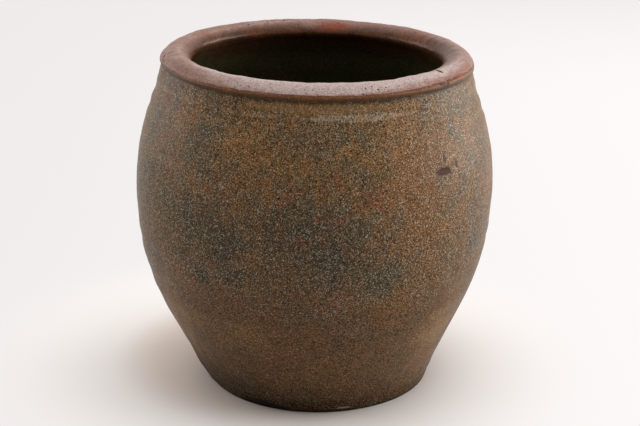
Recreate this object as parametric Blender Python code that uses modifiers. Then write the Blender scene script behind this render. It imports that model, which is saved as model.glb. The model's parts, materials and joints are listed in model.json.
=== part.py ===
"""A wide-mouthed stoneware crock, built from its luted clay sections. Metres, +Z up, standing on Z = 0."""

import math

import bpy
from mathutils import Vector
from mathutils.geometry import interpolate_bezier

# Whole vessel, over the finished clay
HEIGHT = 0.3243
BELLY_RADIUS = 0.1700
BELLY_HEIGHT = 0.1924
FOOT_RADIUS = 0.1062
NECK_RADIUS = 0.1453
FOOT_SPLAY = math.radians(24.7)
NECK_LEAN = math.radians(15.6)

# How strongly each end of the wall's curve holds its direction, as shares of the rise that it spans
FOOT_PULL_SHARE = 0.41
BELLY_DOWN_PULL_SHARE = 0.43
BELLY_UP_PULL_SHARE = 0.50
NECK_PULL_SHARE = 0.34

# Clay and slip
WALL = 0.0130
SLAB_THICKNESS = 0.0140
FOOT_EDGE_RADIUS = 0.0015
SLIP_GAP = 0.0003

# Corner coil, pressed between the slab and the wall
COVE_LEG = 0.0200
COVE_EDGE = 0.0015

# Finger rings inside the wall
RING_PITCH = 0.0340
RING_DEPTH = 0.0014
STEPS_PER_RING = 4

# Keyed joint between the lifts: stations across the wall from outside to inside, and the wedge's depth there
LIFT_HEIGHT = 0.1520
KEY_DEPTH = 0.0040
KEY_SHARES = ((0.0, 0.0), (0.2, 0.0), (0.5, 1.0), (0.8, 0.0), (1.0, 0.0))

# Neck collar, measured down from the crest of the lip
COLLAR_DROP = 0.0263
COLLAR_BEVEL = 0.0080
COLLAR_TOP = 0.0175
RIDGE = 0.0007
RIDGE_RADIUS = 0.0012
TONGUE_WIDTH = 0.0080
TONGUE_HEIGHT = 0.0045

# Rolled lip
NOTCH_DROP = 0.0178
LIP_OVERHANG = 0.0029
LIP_WIDTH = 0.0286
LIP_CROWN = 0.0113

# Facets
SEGMENTS = 60
OUTER_STEP = 0.0160
CURVE_STEPS = 60
CROWN_STEPS = 14
UNDERCUT_STEPS = 4
TONGUE_STEPS = 6
COVE_STEPS = 6
FILLET_STEPS = 3
MERGE_DISTANCE = 0.00001
SHARP_ANGLE = math.radians(35)

LIP_RADIUS = NECK_RADIUS + LIP_OVERHANG
SEAT_HEIGHT = HEIGHT - NOTCH_DROP
RIDGE_HEIGHT = HEIGHT - COLLAR_DROP
COLLAR_INNER_HEIGHT = RIDGE_HEIGHT - COLLAR_BEVEL
COVE_TOP = SLAB_THICKNESS + COVE_LEG


def profile_point(radius, height):
    return Vector((radius, 0, height))


def wall_curve():
    """The wall's outer face from the foot to the neck: two Bezier curves that meet upright at the belly."""
    foot = profile_point(FOOT_RADIUS, 0)
    belly = profile_point(BELLY_RADIUS, BELLY_HEIGHT)
    neck = profile_point(NECK_RADIUS, SEAT_HEIGHT)
    rise_above = SEAT_HEIGHT - BELLY_HEIGHT
    up = profile_point(0, 1)
    outwards = profile_point(math.sin(FOOT_SPLAY), math.cos(FOOT_SPLAY))
    inwards = profile_point(-math.sin(NECK_LEAN), math.cos(NECK_LEAN))
    lower = interpolate_bezier(
        foot,
        foot + outwards * BELLY_HEIGHT * FOOT_PULL_SHARE,
        belly - up * BELLY_HEIGHT * BELLY_DOWN_PULL_SHARE,
        belly,
        CURVE_STEPS,
    )
    upper = interpolate_bezier(
        belly,
        belly + up * rise_above * BELLY_UP_PULL_SHARE,
        neck - inwards * rise_above * NECK_PULL_SHARE,
        neck,
        CURVE_STEPS,
    )
    return lower + upper[1:]


CURVE = wall_curve()


def outer_and_slope(height):
    """The wall's outer radius at a height, and how fast it grows with height there."""
    for low, high in zip(CURVE, CURVE[1:]):
        if height <= high.z:
            break
    slope = (high.x - low.x) / (high.z - low.z)
    return low.x + (height - low.z) * slope, slope


def outer(height):
    return outer_and_slope(height)[0]


def finger_ring(height):
    """How deep the finger rings press into the inner face at a height. They start above the cove."""
    turns = max(height - COVE_TOP, 0) / RING_PITCH
    return RING_DEPTH * (1 - math.cos(2 * math.pi * turns)) / 2


def inner(height):
    """The wall's inner radius: one wall thickness in, square to the outer face, plus the finger rings."""
    radius, slope = outer_and_slope(height)
    return radius - WALL * math.hypot(1, slope) + finger_ring(height)


def outer_face(top, bottom):
    """Points down the outer face, without its two ends."""
    steps = math.ceil((top - bottom) / OUTER_STEP)
    heights = [top + (bottom - top) * step / steps for step in range(1, steps)]
    return [profile_point(outer(height), height) for height in heights]


def inner_face(bottom, top):
    """Points up the inner face, without its two ends: the cove's top and the steps of the finger rings."""
    step = RING_PITCH / STEPS_PER_RING
    count = math.ceil((top - COVE_TOP) / step)
    heights = [COVE_TOP + step * index for index in range(count)]
    inside = [height for height in heights if bottom + step / 2 < height < top - step / 2]
    return [profile_point(inner(height), height) for height in inside]


def quarter(centre, start, end, steps):
    """A quarter ellipse about a centre, from one of its axis ends to the other, without its start."""
    first = start - centre
    second = end - centre
    turns = [math.pi / 2 * step / steps for step in range(1, steps + 1)]
    return [centre + first * math.cos(turn) + second * math.sin(turn) for turn in turns]


def fillet(before, corner, after, radius):
    """An arc that rounds the corner of three profile points."""
    back = (before - corner).normalized()
    ahead = (after - corner).normalized()
    half_angle = back.angle(ahead) / 2
    reach = radius / math.tan(half_angle)
    centre = corner + (back + ahead).normalized() * radius / math.sin(half_angle)
    start = corner + back * reach - centre
    end = corner + ahead * reach - centre
    shares = [step / FILLET_STEPS for step in range(FILLET_STEPS + 1)]
    return [centre + start.lerp(end, share).normalized() * radius for share in shares]


def keyed_edge(shift):
    """The joint between the lifts, from the outer face to the inner one: a wedge above, a V-groove below."""
    outside = outer(LIFT_HEIGHT)
    inside = inner(LIFT_HEIGHT)
    return [
        profile_point(outside + (inside - outside) * across, LIFT_HEIGHT - KEY_DEPTH * depth + shift)
        for across, depth in KEY_SHARES
    ]


def saddle(clearance):
    """The arch over the collar's tongue, from its inner foot to its outer one, grown by a clearance."""
    middle = NECK_RADIUS - COLLAR_TOP / 2
    half_width = TONGUE_WIDTH / 2 + clearance
    rise = TONGUE_HEIGHT + clearance
    turns = [math.pi * step / TONGUE_STEPS for step in range(TONGUE_STEPS + 1)]
    return [
        profile_point(middle - half_width * math.cos(turn), SEAT_HEIGHT + rise * math.sin(turn))
        for turn in turns
    ]


def base_slab_profile():
    rim = profile_point(outer(SLAB_THICKNESS), SLAB_THICKNESS)
    foot = profile_point(FOOT_RADIUS, 0)
    centre = profile_point(0, 0)
    return [profile_point(0, SLAB_THICKNESS), rim] + fillet(rim, foot, centre, FOOT_EDGE_RADIUS) + [centre]


def corner_coil_profile():
    floor = SLAB_THICKNESS + SLIP_GAP
    heel = profile_point(inner(SLAB_THICKNESS) - SLIP_GAP, floor)
    top = profile_point(inner(COVE_TOP) - SLIP_GAP, COVE_TOP)
    top_edge = profile_point(top.x - COVE_EDGE, COVE_TOP)
    toe = profile_point(heel.x - COVE_LEG, floor)
    toe_edge = profile_point(toe.x, floor + COVE_EDGE)
    hollow = quarter(profile_point(toe.x, COVE_TOP), toe_edge, top_edge, COVE_STEPS)
    return [top, heel, toe, toe_edge] + hollow


def lower_wall_profile():
    floor = SLAB_THICKNESS + SLIP_GAP
    return (
        outer_face(LIFT_HEIGHT, SLAB_THICKNESS)
        + [profile_point(outer(SLAB_THICKNESS), floor), profile_point(inner(SLAB_THICKNESS), floor)]
        + inner_face(SLAB_THICKNESS, LIFT_HEIGHT)
        + keyed_edge(-SLIP_GAP)[::-1]
    )


def upper_wall_profile():
    return (
        [profile_point(outer(RIDGE_HEIGHT), RIDGE_HEIGHT - SLIP_GAP)]
        + outer_face(RIDGE_HEIGHT, LIFT_HEIGHT)
        + keyed_edge(0)
        + inner_face(LIFT_HEIGHT, COLLAR_INNER_HEIGHT)
        + [profile_point(inner(COLLAR_INNER_HEIGHT), COLLAR_INNER_HEIGHT - SLIP_GAP)]
    )


def neck_collar_profile():
    top = SEAT_HEIGHT - SLIP_GAP
    shoulder = profile_point(NECK_RADIUS, top)
    lower_edge = profile_point(inner(COLLAR_INNER_HEIGHT), COLLAR_INNER_HEIGHT)
    flush_edge = profile_point(outer(RIDGE_HEIGHT), RIDGE_HEIGHT)
    bevel = flush_edge - lower_edge
    ridge = flush_edge + bevel * RIDGE / bevel.x
    tongue = [point - profile_point(0, SLIP_GAP) for point in saddle(0)]
    return (
        [shoulder]
        + fillet(shoulder, ridge, lower_edge, RIDGE_RADIUS)
        + [lower_edge, profile_point(NECK_RADIUS - COLLAR_TOP, top)]
        + tongue
    )


def rim_coil_profile():
    middle = profile_point(LIP_RADIUS - LIP_WIDTH / 2, HEIGHT - LIP_CROWN)
    crest = profile_point(middle.x, HEIGHT)
    outermost = profile_point(LIP_RADIUS, middle.z)
    innermost = profile_point(LIP_RADIUS - LIP_WIDTH, middle.z)
    notch = profile_point(NECK_RADIUS, SEAT_HEIGHT)
    heel = profile_point(NECK_RADIUS - COLLAR_TOP, SEAT_HEIGHT)
    return (
        quarter(middle, crest, outermost, CROWN_STEPS // 2)
        + quarter(profile_point(notch.x, middle.z), outermost, notch, UNDERCUT_STEPS)
        + saddle(SLIP_GAP)[::-1]
        + [heel]
        + quarter(profile_point(heel.x, middle.z), heel, innermost, UNDERCUT_STEPS)
        + quarter(middle, innermost, crest, CROWN_STEPS // 2)
    )


def clay_material(name, colour, roughness):
    material = bpy.data.materials.new(name)
    material.use_nodes = True
    shader = material.node_tree.nodes["Principled BSDF"]
    shader.inputs["Base Color"].default_value = (*colour, 1)
    shader.inputs["Roughness"].default_value = roughness
    shader.inputs["Metallic"].default_value = 0
    material.diffuse_color = (*colour, 1)
    return material


def turned_piece(name, profile, seat, material, closed=True):
    """A clay section: its profile turned about the vessel's axis, its origin at the height that it sits on."""
    points = [point - profile_point(0, seat) for point in profile]
    edges = [(index, index + 1) for index in range(len(points) - 1)]
    if closed:
        edges.append((len(points) - 1, 0))
    outline = bpy.data.meshes.new(name + "_profile")
    outline.from_pydata(points, edges, [])
    piece = bpy.data.objects.new(name, outline)
    collection.objects.link(piece)
    turn = piece.modifiers.new("Turn", "SCREW")
    turn.axis = "Z"
    turn.steps = SEGMENTS
    turn.render_steps = SEGMENTS
    turn.use_merge_vertices = True
    turn.merge_threshold = MERGE_DISTANCE

    graph = bpy.context.evaluated_depsgraph_get()
    mesh = bpy.data.meshes.new_from_object(piece.evaluated_get(graph))
    mesh.name = name
    mesh.shade_smooth()
    mesh.set_sharp_from_angle(angle=SHARP_ANGLE)
    mesh.materials.append(material)
    piece.modifiers.clear()
    piece.data = mesh
    bpy.data.meshes.remove(outline)
    piece.parent = axis
    piece.location.z = seat
    return piece


for old in list(bpy.data.objects):
    bpy.data.objects.remove(old, do_unlink=True)

collection = bpy.data.collections.new("crock")
bpy.context.scene.collection.children.link(collection)
axis = bpy.data.objects.new("vessel_axis", None)
collection.objects.link(axis)

turned_piece(
    "base_slab",
    base_slab_profile(),
    0,
    clay_material("slab_clay", (0.075, 0.043, 0.022), 0.8),
    closed=False,
)
turned_piece(
    "corner_coil",
    corner_coil_profile(),
    SLAB_THICKNESS,
    clay_material("cove_glaze", (0.016, 0.017, 0.009), 0.4),
)
turned_piece(
    "lower_wall",
    lower_wall_profile(),
    SLAB_THICKNESS,
    clay_material("lower_wall_glaze", (0.118, 0.068, 0.034), 0.6),
)
turned_piece(
    "upper_wall",
    upper_wall_profile(),
    LIFT_HEIGHT,
    clay_material("upper_wall_glaze", (0.107, 0.070, 0.040), 0.55),
)
turned_piece(
    "neck_collar",
    neck_collar_profile(),
    RIDGE_HEIGHT,
    clay_material("collar_glaze", (0.130, 0.065, 0.032), 0.55),
)
turned_piece(
    "rim_coil",
    rim_coil_profile(),
    SEAT_HEIGHT,
    clay_material("bare_lip_clay", (0.330, 0.185, 0.160), 0.6),
)
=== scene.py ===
"""Looks of a stoneware crock: a hand-built skin cut at its luted joints, its glaze, bare lip and studio."""

import json
import math

import bpy
import numpy as np
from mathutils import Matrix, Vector

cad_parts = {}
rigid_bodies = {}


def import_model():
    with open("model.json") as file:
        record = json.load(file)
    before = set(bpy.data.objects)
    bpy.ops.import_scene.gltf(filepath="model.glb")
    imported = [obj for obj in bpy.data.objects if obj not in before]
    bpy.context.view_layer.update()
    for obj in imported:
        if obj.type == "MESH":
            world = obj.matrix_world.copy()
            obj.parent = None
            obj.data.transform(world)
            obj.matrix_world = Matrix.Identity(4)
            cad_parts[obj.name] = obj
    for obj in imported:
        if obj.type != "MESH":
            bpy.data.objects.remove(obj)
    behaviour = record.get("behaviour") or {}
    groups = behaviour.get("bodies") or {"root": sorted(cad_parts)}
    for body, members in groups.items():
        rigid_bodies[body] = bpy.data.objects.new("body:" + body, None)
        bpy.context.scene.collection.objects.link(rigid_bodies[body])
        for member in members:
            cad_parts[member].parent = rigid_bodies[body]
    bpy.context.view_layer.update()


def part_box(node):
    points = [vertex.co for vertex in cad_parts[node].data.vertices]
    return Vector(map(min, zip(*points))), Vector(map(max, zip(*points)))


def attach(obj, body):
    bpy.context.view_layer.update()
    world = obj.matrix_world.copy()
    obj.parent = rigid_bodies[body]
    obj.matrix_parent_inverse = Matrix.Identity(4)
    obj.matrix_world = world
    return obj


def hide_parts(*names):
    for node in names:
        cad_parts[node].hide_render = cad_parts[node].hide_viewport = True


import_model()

# The joints between the clay sections, from the frame
SLIP_GAP = 0.0003
LIP_OVERHANG = 0.0029
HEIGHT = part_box("rim_coil")[1].z
LIP_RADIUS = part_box("rim_coil")[1].x
NECK_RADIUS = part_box("rim_coil")[1].x - LIP_OVERHANG
SEAT_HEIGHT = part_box("rim_coil")[0].z
RIDGE_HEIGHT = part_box("upper_wall")[1].z + SLIP_GAP
COLLAR_INNER_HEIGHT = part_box("neck_collar")[0].z
LIFT_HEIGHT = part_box("lower_wall")[1].z + SLIP_GAP
COVE_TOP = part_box("corner_coil")[1].z
SLAB_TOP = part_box("base_slab")[1].z
BELLY_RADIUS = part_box("upper_wall")[1].x

# The wall's outer curve, as turned
BELLY_HEIGHT = 0.1924
FOOT_RADIUS = 0.1062
FOOT_SPLAY = math.radians(24.7)
NECK_LEAN = math.radians(15.6)
FOOT_PULL_SHARE = 0.41
BELLY_DOWN_PULL_SHARE = 0.43
BELLY_UP_PULL_SHARE = 0.50
NECK_PULL_SHARE = 0.34
WALL = 0.0130

# Collar, lip, cove and foot
COLLAR_TOP = 0.0175
LIP_WIDTH = 0.0286
LIP_CROWN = 0.0113
LIP_FULLNESS = 1.08
LIP_TUCK = 0.0017
LIP_FRONT_GROWTH = 0.0019
LIP_SKEW = 0.7
LIP_FRONT_SINE = 0.9
TONGUE_SHARE = 0.27
TONGUE_HEIGHT = 0.0045
KEY_DEPTH = 0.0040
COVE_LEG = 0.0200
FOOT_EDGE_RADIUS = 0.0016
FOOT_EDGE_TALLNESS = 1.4
RING_PITCH = 0.0340
RING_DEPTH = 0.0014

# The hand that built it: how far it leans and tilts
LEAN = (-0.0035, 0.0071)
FOOT_SHIFT = 0.0041
FOOT_SHIFT_SHARE = 0.2
LIP_TILT = 0.0194
TILT_SHARES = (0.60, 0.95)

# The hand-set lip sits up from the collar: how far, and between which heights the skin gives way
NOTCH_LIFT = 0.0048
NOTCH_HEIGHTS = (0.2880, 0.3190)

# The foot's left side flares out, and the wall above it is pinched in
FLARE = 0.0026
FLARE_ANGLE = math.radians(186)
FLARE_WIDTH = 0.32
FLARE_HEIGHTS = (0.040, 0.016)
PINCH = 0.0014
PINCH_HEIGHT = 0.056
PINCH_WIDTH = 0.016

# The collar's rings fade away from the front: by how much, from what height, and how wide the front is
RING_FADE = 0.65
FADE_HEIGHTS = (0.280, 0.286)
FRONT_ANGLE = -math.pi / 2
FRONT_WIDTH = 1.1

# Mesh
SEGMENTS = 640
ROW_STEP = 0.0016
LIP_ROWS = 56
FOOT_EDGE_ROWS = 6
COLLAR_ROWS = 8
COVE_ROWS = 12
SADDLE_ROWS = 7
INNER_STEP = 0.0030
CURVE_STEPS = 900
DISC_RADIUS = 0.0400
DISC_STEP = 0.0036
DISC_SPACING = 0.0011
DISC_LAST_RING = 1.5 * DISC_STEP
FEWEST_POINTS = 10
SEED = 11

# Rows before and after the lip's notch and heel over which one relief gives way to the next, and the height
# above which the relief of the foot is full
NOTCH_EASE = (-3, 6)
HEEL_EASE = (-7, 2)
OFF_GROUND = 0.004

# Room on the texture layout for strips that nothing shows and for inner ones, and the margin round each
# sector
HIDDEN_ROOM = 0.3
INNER_ROOM = 0.5

# Where along the lip the finishes take a hidden joint face to be
HIDDEN_ALONG = 0.5
LAYOUT_MARGIN = 0.004

# How the outside rings sway round the crock: size, turns and phase. Then their mean strength and its limits
RING_SWAY = ((0.0012, 1, 0.6), (0.0008, 2, 2.1))
RING_MEAN = 0.8
RING_LIMITS = (0.1, 1.4)

# Unevenness of the skin: size, wavelength and seed
RING_WANDER = ((0.0009, 0.09, 1),)
RING_STRENGTH = ((0.45, 0.12, 2),)
OUTSIDE_UNEVENNESS = ((0.00015, 0.085, 3), (0.00007, 0.026, 4), (0.00002, 0.009, 5))
LIP_UNEVENNESS = ((0.00018, 0.060, 6), (0.00009, 0.019, 7), (0.00004, 0.006, 8))
INSIDE_UNEVENNESS = ((0.0004, 0.080, 9), (0.00015, 0.024, 10))
GLAZE_LINE_UNEVENNESS = ((0.004, 0.012, 12),)

# Places round the crock where a level swells: angle and width in radians, and by how much
NOTCH_SWELLS = ((-2.97, 0.60, 0.0027), (0.0, 0.50, -0.0006))
GLAZE_LINE_SWELLS = ((-1.54, 0.38, -0.008), (-0.65, 0.30, 0.042), (-2.97, 0.15, -0.04))
INNER_LINE_SWELLS = ((2.55, 0.55, 0.036), (1.45, 0.20, 0.13), (0.0, 0.52, -0.10))

# Where along the lip the outside glaze ends and the dark inside glaze starts
GLAZE_LINE = 0.232
INNER_LINE = 0.685

# Height, swell and width of the rings that the potter's fingers left outside
OUTSIDE_RINGS = (
    (0.0205, 0.00025, 0.0045),
    (0.0480, 0.00020, 0.0060),
    (0.0820, 0.00045, 0.0065),
    (0.1040, 0.00035, 0.0060),
    (0.1180, -0.00035, 0.0070),
    (0.1400, 0.00035, 0.0055),
    (0.1500, -0.00025, 0.0040),
    (0.1600, 0.00030, 0.0055),
    (0.1960, 0.00020, 0.0080),
    (0.2360, 0.00025, 0.0050),
    (0.2440, -0.00025, 0.0040),
    (0.2640, 0.00035, 0.0045),
    (0.2720, -0.00030, 0.0035),
    (0.2800, 0.00035, 0.0045),
    (0.2880, -0.00050, 0.0030),
    (0.2955, 0.00075, 0.0018),
    (0.3035, -0.00030, 0.0020),
)
# Marks that stand off the skin: angle in degrees, height, half-width, half-height and swell
WALL_MARKS = (
    (-46.5, 0.2418, 0.0085, 0.0030, -0.00055),
    (-46.5, 0.2380, 0.0085, 0.0022, 0.00035),
    (-45.4, 0.2529, 0.0020, 0.0040, 0.00030),
    (-40.1, 0.2461, 0.0020, 0.0040, 0.00030),
    (-100.5, 0.2305, 0.0020, 0.0020, -0.00040),
    (-77.0, 0.0048, 0.0090, 0.0016, -0.00050),
    (-58.0, 0.0052, 0.0050, 0.0016, -0.00030),
)
LIP_MARKS = (
    (-28.9, 0.3160, 0.0068, 0.0026, 0.00080),
    (-38.5, 0.3156, 0.0032, 0.0024, -0.00035),
)
# Soft patches on the wall: angle in degrees (-90 is the front), height, half-width and half-height, strength.
# Thick ash looks grey-green
ASH_PATCHES = (
    (-95, 0.284, 0.034, 0.010, 0.5),
    (-91, 0.268, 0.022, 0.010, 0.5),
    (-79, 0.283, 0.016, 0.012, 0.5),
    (-82, 0.251, 0.018, 0.010, 0.6),
    (-134, 0.276, 0.022, 0.012, 0.5),
    (-128, 0.252, 0.026, 0.014, 0.5),
    (-132, 0.202, 0.040, 0.020, 0.6),
    (-118, 0.184, 0.022, 0.020, 1.0),
    (-119, 0.149, 0.018, 0.010, 0.9),
    (-128, 0.124, 0.016, 0.008, 0.5),
    (-96, 0.205, 0.040, 0.022, 0.9),
    (-82, 0.172, 0.040, 0.024, 1.1),
    (-94, 0.124, 0.022, 0.012, 0.6),
    (-68, 0.150, 0.018, 0.010, 0.5),
    (-60, 0.210, 0.012, 0.010, 0.8),
    (-34, 0.279, 0.014, 0.018, 0.8),
    (-42, 0.232, 0.010, 0.020, 0.5),
    (-155, 0.235, 0.030, 0.050, 0.5),
    (-30, 0.170, 0.020, 0.040, 0.5),
    (-24, 0.235, 0.016, 0.040, 0.6),
)
# Thin ash lets ochre and rust through
OCHRE_PATCHES = (
    (-57, 0.254, 0.022, 0.036, 0.9),
    (-54, 0.205, 0.022, 0.040, 0.9),
    (-45, 0.262, 0.014, 0.016, 0.8),
    (-29, 0.266, 0.016, 0.026, 0.6),
    (-38, 0.190, 0.012, 0.026, 0.6),
    (-22, 0.205, 0.014, 0.022, 0.5),
    (-136, 0.284, 0.014, 0.011, 0.9),
    (-110, 0.263, 0.022, 0.018, 0.5),
    (-70, 0.186, 0.016, 0.012, 0.5),
    (-130, 0.139, 0.026, 0.006, 0.7),
    (-64, 0.120, 0.030, 0.022, 0.4),
    (-114, 0.092, 0.040, 0.018, 0.7),
    (-146, 0.095, 0.038, 0.030, 1.0),
    (-150, 0.050, 0.030, 0.020, 0.6),
    (-38, 0.080, 0.040, 0.036, 1.0),
)
RED_PATCHES = (
    (-154, 0.287, 0.010, 0.010, 1.0),
    (-100.5, 0.2305, 0.007, 0.006, 1.2),
    (-84, 0.247, 0.008, 0.007, 0.8),
    (-85, 0.211, 0.010, 0.006, 0.7),
    (-72, 0.225, 0.010, 0.007, 0.9),
    (-92, 0.194, 0.012, 0.010, 0.6),
    (-84, 0.135, 0.020, 0.012, 0.5),
    (-110, 0.118, 0.020, 0.010, 0.4),
    (-102, 0.072, 0.030, 0.014, 0.4),
)
# Soft patches on the lip, where the height is the share of the way from its outer notch to its inner heel
# The pale bloom is partly the clay's own tone, partly a painted sheen, mostly on the front of the crest
BLOOM_AND_SHEEN_PATCHES = (
    (-90, 0.45, 0.120, 0.12, 1.3),
    (-92, 0.30, 0.090, 0.060, 1.0),
    (-130, 0.53, 0.060, 0.06, 0.7),
    (-40, 0.46, 0.080, 0.10, 0.9),
    (12, 0.57, 0.040, 0.05, 0.3),
    (112, 0.60, 0.060, 0.06, 0.5),
    (140, 0.64, 0.040, 0.04, 0.3),
    (-172, 0.55, 0.030, 0.05, 0.4),
)
FLASH_PATCHES = (
    (83, 0.77, 0.022, 0.15, 1.7),
    (78, 0.68, 0.030, 0.07, 0.5),
    (30, 0.64, 0.060, 0.050, 0.9),
    (170, 0.66, 0.060, 0.060, 0.7),
    (148, 0.76, 0.040, 0.040, 0.6),
    (-30, 0.29, 0.045, 0.030, 0.4),
    (-8, 0.32, 0.030, 0.040, 0.4),
    (-112, 0.27, 0.060, 0.020, 0.4),
)
# Smoke on the clay, partly painted shade on the back lip's downward inner face and on the lip's left side
SMOKE_AND_SHADE_PATCHES = (
    (52, 0.72, 0.070, 0.09, 0.6),
    (108, 0.76, 0.034, 0.07, 0.3),
    (-150, 0.34, 0.060, 0.10, 0.45),
)
# Pits and specks on the lip: angle in degrees, radius, height and half-width
BLACK_PITS = (
    (123, 0.1281, 0.3231, 0.0010),
    (113.4, 0.1283, 0.3231, 0.0008),
    (115, 0.1269, 0.3225, 0.0007),
    (105.5, 0.1304, 0.3238, 0.0008),
    (99.4, 0.1242, 0.3208, 0.0007),
    (98.3, 0.1279, 0.3230, 0.0007),
    (141, 0.1216, 0.3182, 0.0009),
    (-175.2, 0.1451, 0.3195, 0.0018),
    (-170.2, 0.1452, 0.3195, 0.0016),
    (-167.4, 0.1468, 0.3180, 0.0018),
    (-164.6, 0.1469, 0.3178, 0.0014),
    (-113.8, 0.1447, 0.3199, 0.0007),
    (40.7, 0.1286, 0.3233, 0.0009),
    (45.3, 0.1253, 0.3216, 0.0008),
    (25.4, 0.1249, 0.3214, 0.0008),
)
RED_PITS = (
    (-70.7, 0.1414, 0.3223, 0.0009),
    (-68.8, 0.1446, 0.3200, 0.0009),
    (-65.7, 0.1434, 0.3210, 0.0008),
    (-73.2, 0.1433, 0.3211, 0.0008),
    (-74.4, 0.1468, 0.3173, 0.0009),
    (-7.7, 0.1350, 0.3242, 0.0009),
    (-154.0, 0.1480, 0.3150, 0.0012),
    (-135.0, 0.1480, 0.3152, 0.0014),
    (-132.0, 0.1478, 0.3156, 0.0011),
    (-123.0, 0.1480, 0.3152, 0.0013),
    (-114.0, 0.1478, 0.3158, 0.0012),
)
# Dark spots where glaze gathered at the lip's outer edge, and the wall's one pit, listed in the same way
EDGE_SPOTS = (
    (-38.4, 0.1481, 0.3130, 0.0032),
    (-40.6, 0.1479, 0.3146, 0.0028),
    (-42.4, 0.1475, 0.3160, 0.0021),
)
WALL_PITS = ((-100.5, 0.1674, 0.2305, 0.0011),)


def srgb(red, green, blue):
    """A colour given in 0-255 display values, as the linear one that a shader takes."""
    shares = [value / 255 for value in (red, green, blue)]
    return tuple(s / 12.92 if s <= 0.04045 else ((s + 0.055) / 1.055) ** 2.4 for s in shares)


# Colours of the ash glaze, from the ground up to the grains
LOW_BROWNS = (srgb(106, 69, 25), srgb(88, 62, 26))
LOW_RED_BROWN = srgb(108, 67, 36)
LOW_OCHRE = srgb(138, 98, 48)
HIGH_ASH = (srgb(124, 83, 37), srgb(66, 62, 44))
RUST = srgb(122, 60, 33)
BRIGHT_OCHRE = srgb(104, 66, 24)
FOOT_BROWN_AND_SHADE = srgb(36, 22, 5)
DARK_GRAIN = srgb(30, 17, 5)
PALE_FLECK = srgb(204, 190, 164)
PINPRICK = srgb(232, 224, 200)
TAN_GRAIN = srgb(140, 82, 42)

# Colours of the inside glaze, deep down and near the lip
INNER_GREENS = (srgb(68, 72, 44), srgb(84, 74, 48))
INNER_BROWNS = (srgb(100, 58, 34), srgb(78, 48, 30))

# Colours of the lip's bare clay and of the underside's
MAUVES = (srgb(136, 98, 84), srgb(142, 110, 98))
PALE_BLOOM_AND_SHEEN = srgb(182, 161, 155)
ORANGE_FLASH = srgb(140, 64, 40)
SOOT_AND_SHADE = srgb(64, 42, 29)
RED_GRAIN = srgb(122, 60, 44)
BLACK_PIT = srgb(26, 18, 14)
RED_PIT = srgb(92, 30, 20)
CLAY_PIT = srgb(50, 30, 24)
FOOT_CLAYS = (srgb(134, 104, 80), srgb(112, 82, 60))

# Colours of single marks, among them painted highlight, painted light and painted shade
EDGE_SPOT = srgb(54, 20, 12)
PALE_RIDGE_WEAR_AND_HIGHLIGHT = srgb(190, 176, 156)
RIDGE_LINE_WEAR_AND_HIGHLIGHT = srgb(170, 150, 122)
PAINTED_LIGHT_YELLOW = srgb(166, 128, 84)
POOLED_GLAZE_AND_SHADE = srgb(48, 27, 9)
WALL_PIT = srgb(12, 8, 6)
DRIP = srgb(60, 32, 16)
LIP_GLAZE_STAIN = srgb(124, 66, 22)
GLAZE_EDGE = srgb(84, 36, 18)
CONTACT_SHADOW = srgb(18, 11, 5)

# Ragged spots on the skin: angle in degrees, radius, height, (half-width, half-height, depth), tilt in
# degrees, raggedness and strength, then their colour, their roughness and how far they stand up.
# The upper wall's scar and its two drips, and the lower wall's streak
SCAR_SPOTS = (
    (-46.5, 0.1653, 0.2416, (0.0096, 0.0034, 0.008), -4.0, 0.5, 0.9, srgb(58, 22, 16), 0.6, -0.0002),
    (-45.4, 0.1627, 0.2529, (0.0019, 0.0044, 0.006), 0.0, 0.3, 1.0, DRIP, 0.4, 0.0001),
    (-40.1, 0.1644, 0.2461, (0.0019, 0.0044, 0.006), 0.0, 0.3, 1.0, DRIP, 0.4, 0.0001),
)
STREAK_SPOTS = (
    (-45.6, 0.1560, 0.1095, (0.0034, 0.017, 0.010), -24.0, 0.25, 0.5, srgb(70, 46, 38), None, 0.0),
)
# The slit in the lip's crest, and the blob at its outer edge over its darker rim
LIP_SPOTS = (
    (-36.5, 0.1358, 0.3240, (0.0019, 0.0026, 0.0038), 0.0, 0.1, 1.0, srgb(8, 6, 5), 0.8, -0.0006),
    (-28.9, 0.1475, 0.3156, (0.0088, 0.0040, 0.008), 0.0, 0.25, 0.8, srgb(84, 34, 18), 0.4, 0.0),
    (-28.9, 0.1475, 0.3160, (0.0064, 0.0028, 0.007), 0.0, 0.25, 0.85, srgb(138, 70, 42), 0.35, 0.0),
)
# Glaze pooled at the foot, and the chips in its edge
POOL_SPOTS = (
    (-118.0, 0.1075, 0.0030, (0.026, 0.0060, 0.008), 0.0, 0.4, 0.92, srgb(12, 10, 6), 0.4, 0.0),
)
CHIP_SPOTS = (
    (-77.0, 0.1080, 0.0046, (0.0078, 0.0009, 0.004), 0.0, 0.4, 0.7, srgb(160, 142, 116), 0.4, 0.0),
    (-69.0, 0.1069, 0.0012, (0.0016, 0.0010, 0.003), 0.0, 0.25, 1.0, srgb(128, 58, 36), 0.7, 0.0),
)

# The shares of its size between which a spot or a dot fades out, and the grain of a spot's ragged edge as a
# share of its smaller half-size
SPOT_EDGE = (1.15, 0.75)
DOT_EDGE = (1.25, 0.75)
SPOT_GRAIN = 0.9

# Shine
GLAZE_SPECULAR = 0.13
FOOT_SPECULAR = 0.06
LIP_SPECULAR = 0.19
GLAZE_SHEEN = 0.05
LIP_SHEEN = 0.06
SHEEN_ROUGHNESS = 0.25

# Camera: the photograph's focal length in its own pixels, and its width there
FOCAL_PIXELS = 1604.0
PHOTO_WIDTH = 640
SENSOR_WIDTH = 36
CAMERA_PLACE = (0.0063, -1.4707, 0.6608)
CAMERA_PITCH = 0.3272
CAMERA_YAW = 0.0003

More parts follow.
